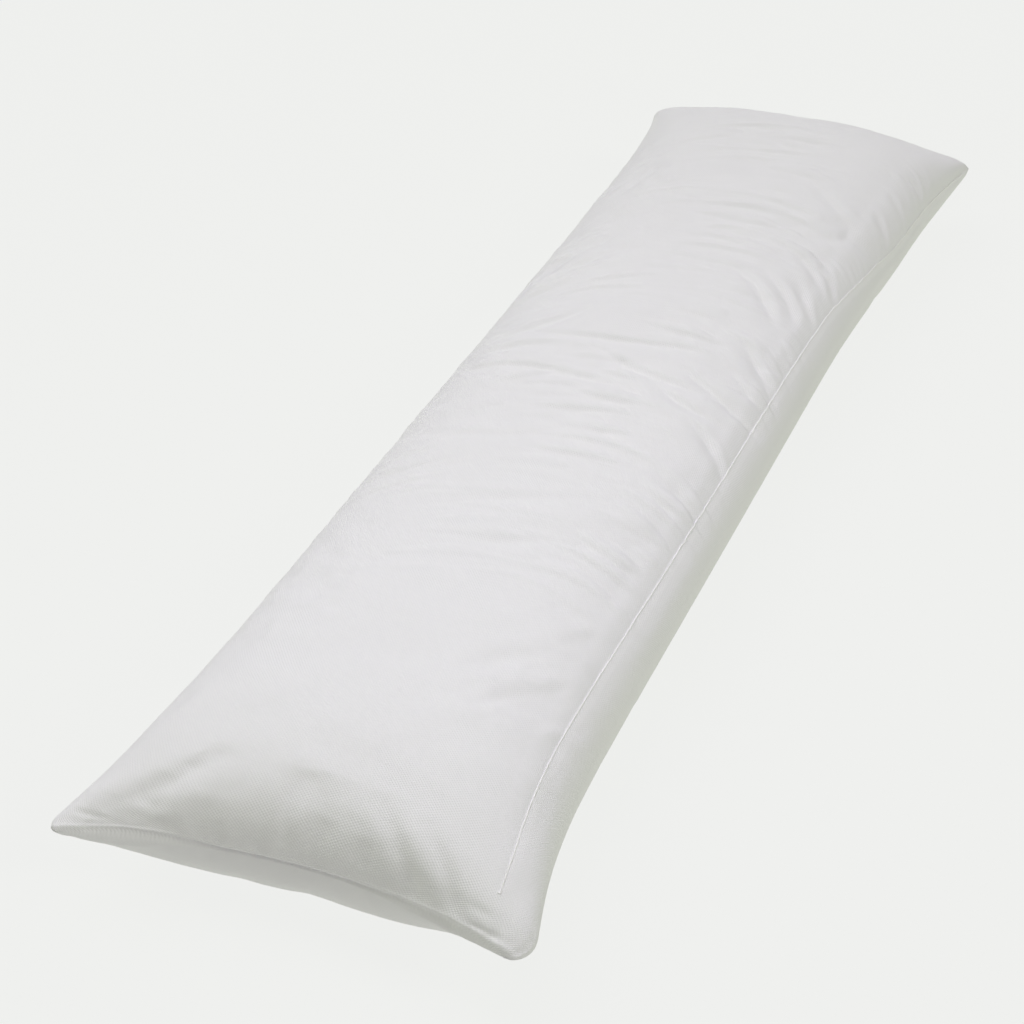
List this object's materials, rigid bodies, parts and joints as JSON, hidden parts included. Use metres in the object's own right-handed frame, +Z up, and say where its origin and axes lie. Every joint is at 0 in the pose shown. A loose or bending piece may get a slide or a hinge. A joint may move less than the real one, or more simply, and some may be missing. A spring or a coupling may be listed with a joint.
{
  "type": "body pillow",
  "caption": "Long, soft, filled pillow in plain white woven cotton, with a rounded crown, drawn-in sides, flattened ears at the corners and a fine closing seam along one side.",
  "frame": {"origin": "middle of the underside, on the surface that the pillow lies on", "axes": "+Z up, +Y along the length towards the far end of the picture, +X towards the side with the closing seam"},
  "size_m": [0.3798, 1.4068, 0.1238],
  "materials": {
    "white_cotton": "matt fine weave"
  },
  "bodies": {
    "root": {"pillow": "white_cotton"}
  },
  "joints": []
}
